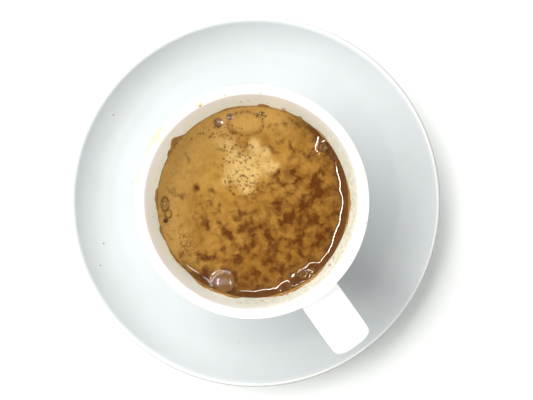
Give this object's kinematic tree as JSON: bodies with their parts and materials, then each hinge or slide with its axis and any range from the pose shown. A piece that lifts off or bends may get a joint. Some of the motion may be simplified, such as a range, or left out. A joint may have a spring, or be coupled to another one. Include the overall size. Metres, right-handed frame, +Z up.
{
  "type": "espresso shot",
  "caption": "Espresso with a mottled tan crema in a small white porcelain cup with a flat strap handle, standing in the well of its matching saucer.",
  "frame": {"origin": "centre of the saucer's foot ring, in the plane it rests on", "axes": "+Z up; +X from the cup's axis along the handle; +Y to the left of the handle"},
  "size_m": [0.12, 0.12, 0.0584],
  "materials": {
    "porcelain": "clear glossy glaze over white porcelain, bare and matt under the foot rings",
    "espresso": "dark brown liquid",
    "crema": "fine tan foam with darker flecks and a wet sheen"
  },
  "bodies": {
    "root": {"saucer": "porcelain", "cup": "porcelain", "coffee": "espresso", "crema": "crema"}
  },
  "joints": []
}
